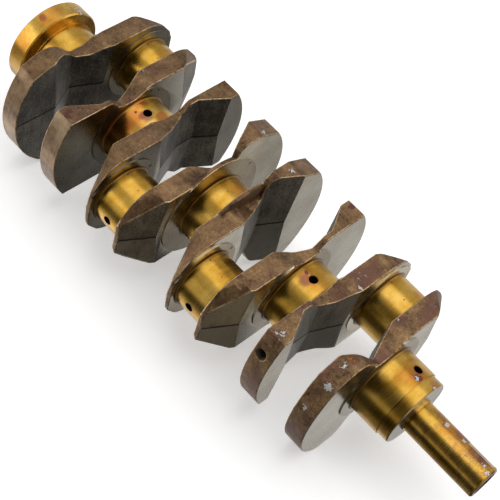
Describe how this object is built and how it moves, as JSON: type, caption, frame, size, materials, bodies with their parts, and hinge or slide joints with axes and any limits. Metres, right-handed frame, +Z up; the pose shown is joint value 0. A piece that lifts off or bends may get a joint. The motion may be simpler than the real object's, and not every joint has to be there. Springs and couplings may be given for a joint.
{
  "type": "crankshaft",
  "caption": "Forged crankshaft with ground main and rod journals, counterweighted webs, a flywheel flange at one end and a stepped nose at the other.",
  "frame": {"origin": "on the main axis, in the rear face of the flywheel flange", "axes": "+X along the main axis from the flange to the nose, +Y towards the two outer crankpins, +Z up, square to the plane of the throws"},
  "size_m": [0.4652, 0.1506, 0.1095],
  "materials": {
    "ground_journal": "ground and polished, with a golden oil film",
    "forged_web": "as-forged sides with brown scale, machined faces"
  },
  "bodies": {
    "root": {"main_journal_1": "ground_journal", "main_journal_2": "ground_journal", "main_journal_3": "ground_journal", "main_journal_4": "ground_journal", "main_journal_5": "ground_journal", "rod_journal_1": "ground_journal", "rod_journal_2": "ground_journal", "rod_journal_3": "ground_journal", "rod_journal_4": "ground_journal", "web_1": "forged_web", "web_2": "forged_web", "web_3": "forged_web", "web_4": "forged_web", "web_5": "forged_web", "web_6": "forged_web", "web_7": "forged_web", "web_8": "forged_web", "flywheel_flange": "ground_journal", "rear_collar": "ground_journal", "gear_seat": "ground_journal", "nose_ring": "ground_journal", "nose": "ground_journal"}
  },
  "joints": []
}
